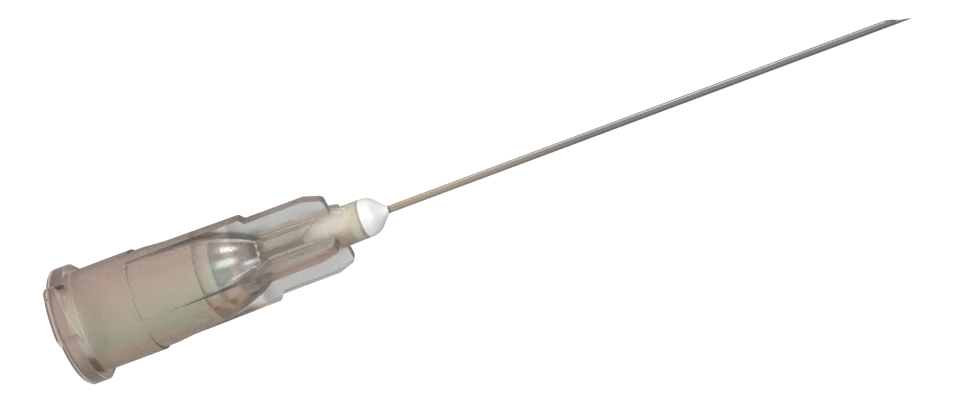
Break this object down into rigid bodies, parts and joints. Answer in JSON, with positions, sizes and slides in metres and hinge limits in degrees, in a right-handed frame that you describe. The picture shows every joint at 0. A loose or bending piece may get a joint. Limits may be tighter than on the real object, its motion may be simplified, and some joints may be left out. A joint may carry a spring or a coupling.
{
  "type": "hypodermic needle",
  "caption": "Fine-gauge hypodermic needle: finned, translucent moulded hub with a locking Luer socket, a white adhesive bead and a thin steel tube ground to a lancet point.",
  "frame": {"origin": "middle of the hub's rear face, where the needle stands", "axes": "+Z along the needle from the rear face to the point, the two locking lugs on the Y axis"},
  "size_m": [0.0068, 0.0078, 0.0511],
  "materials": {
    "hub": "clear smoky moulded plastic",
    "adhesive": "smooth white resin",
    "cannula": "drawn stainless tube"
  },
  "bodies": {
    "root": {"hub": "hub", "adhesive": "adhesive", "cannula": "cannula"}
  },
  "joints": []
}
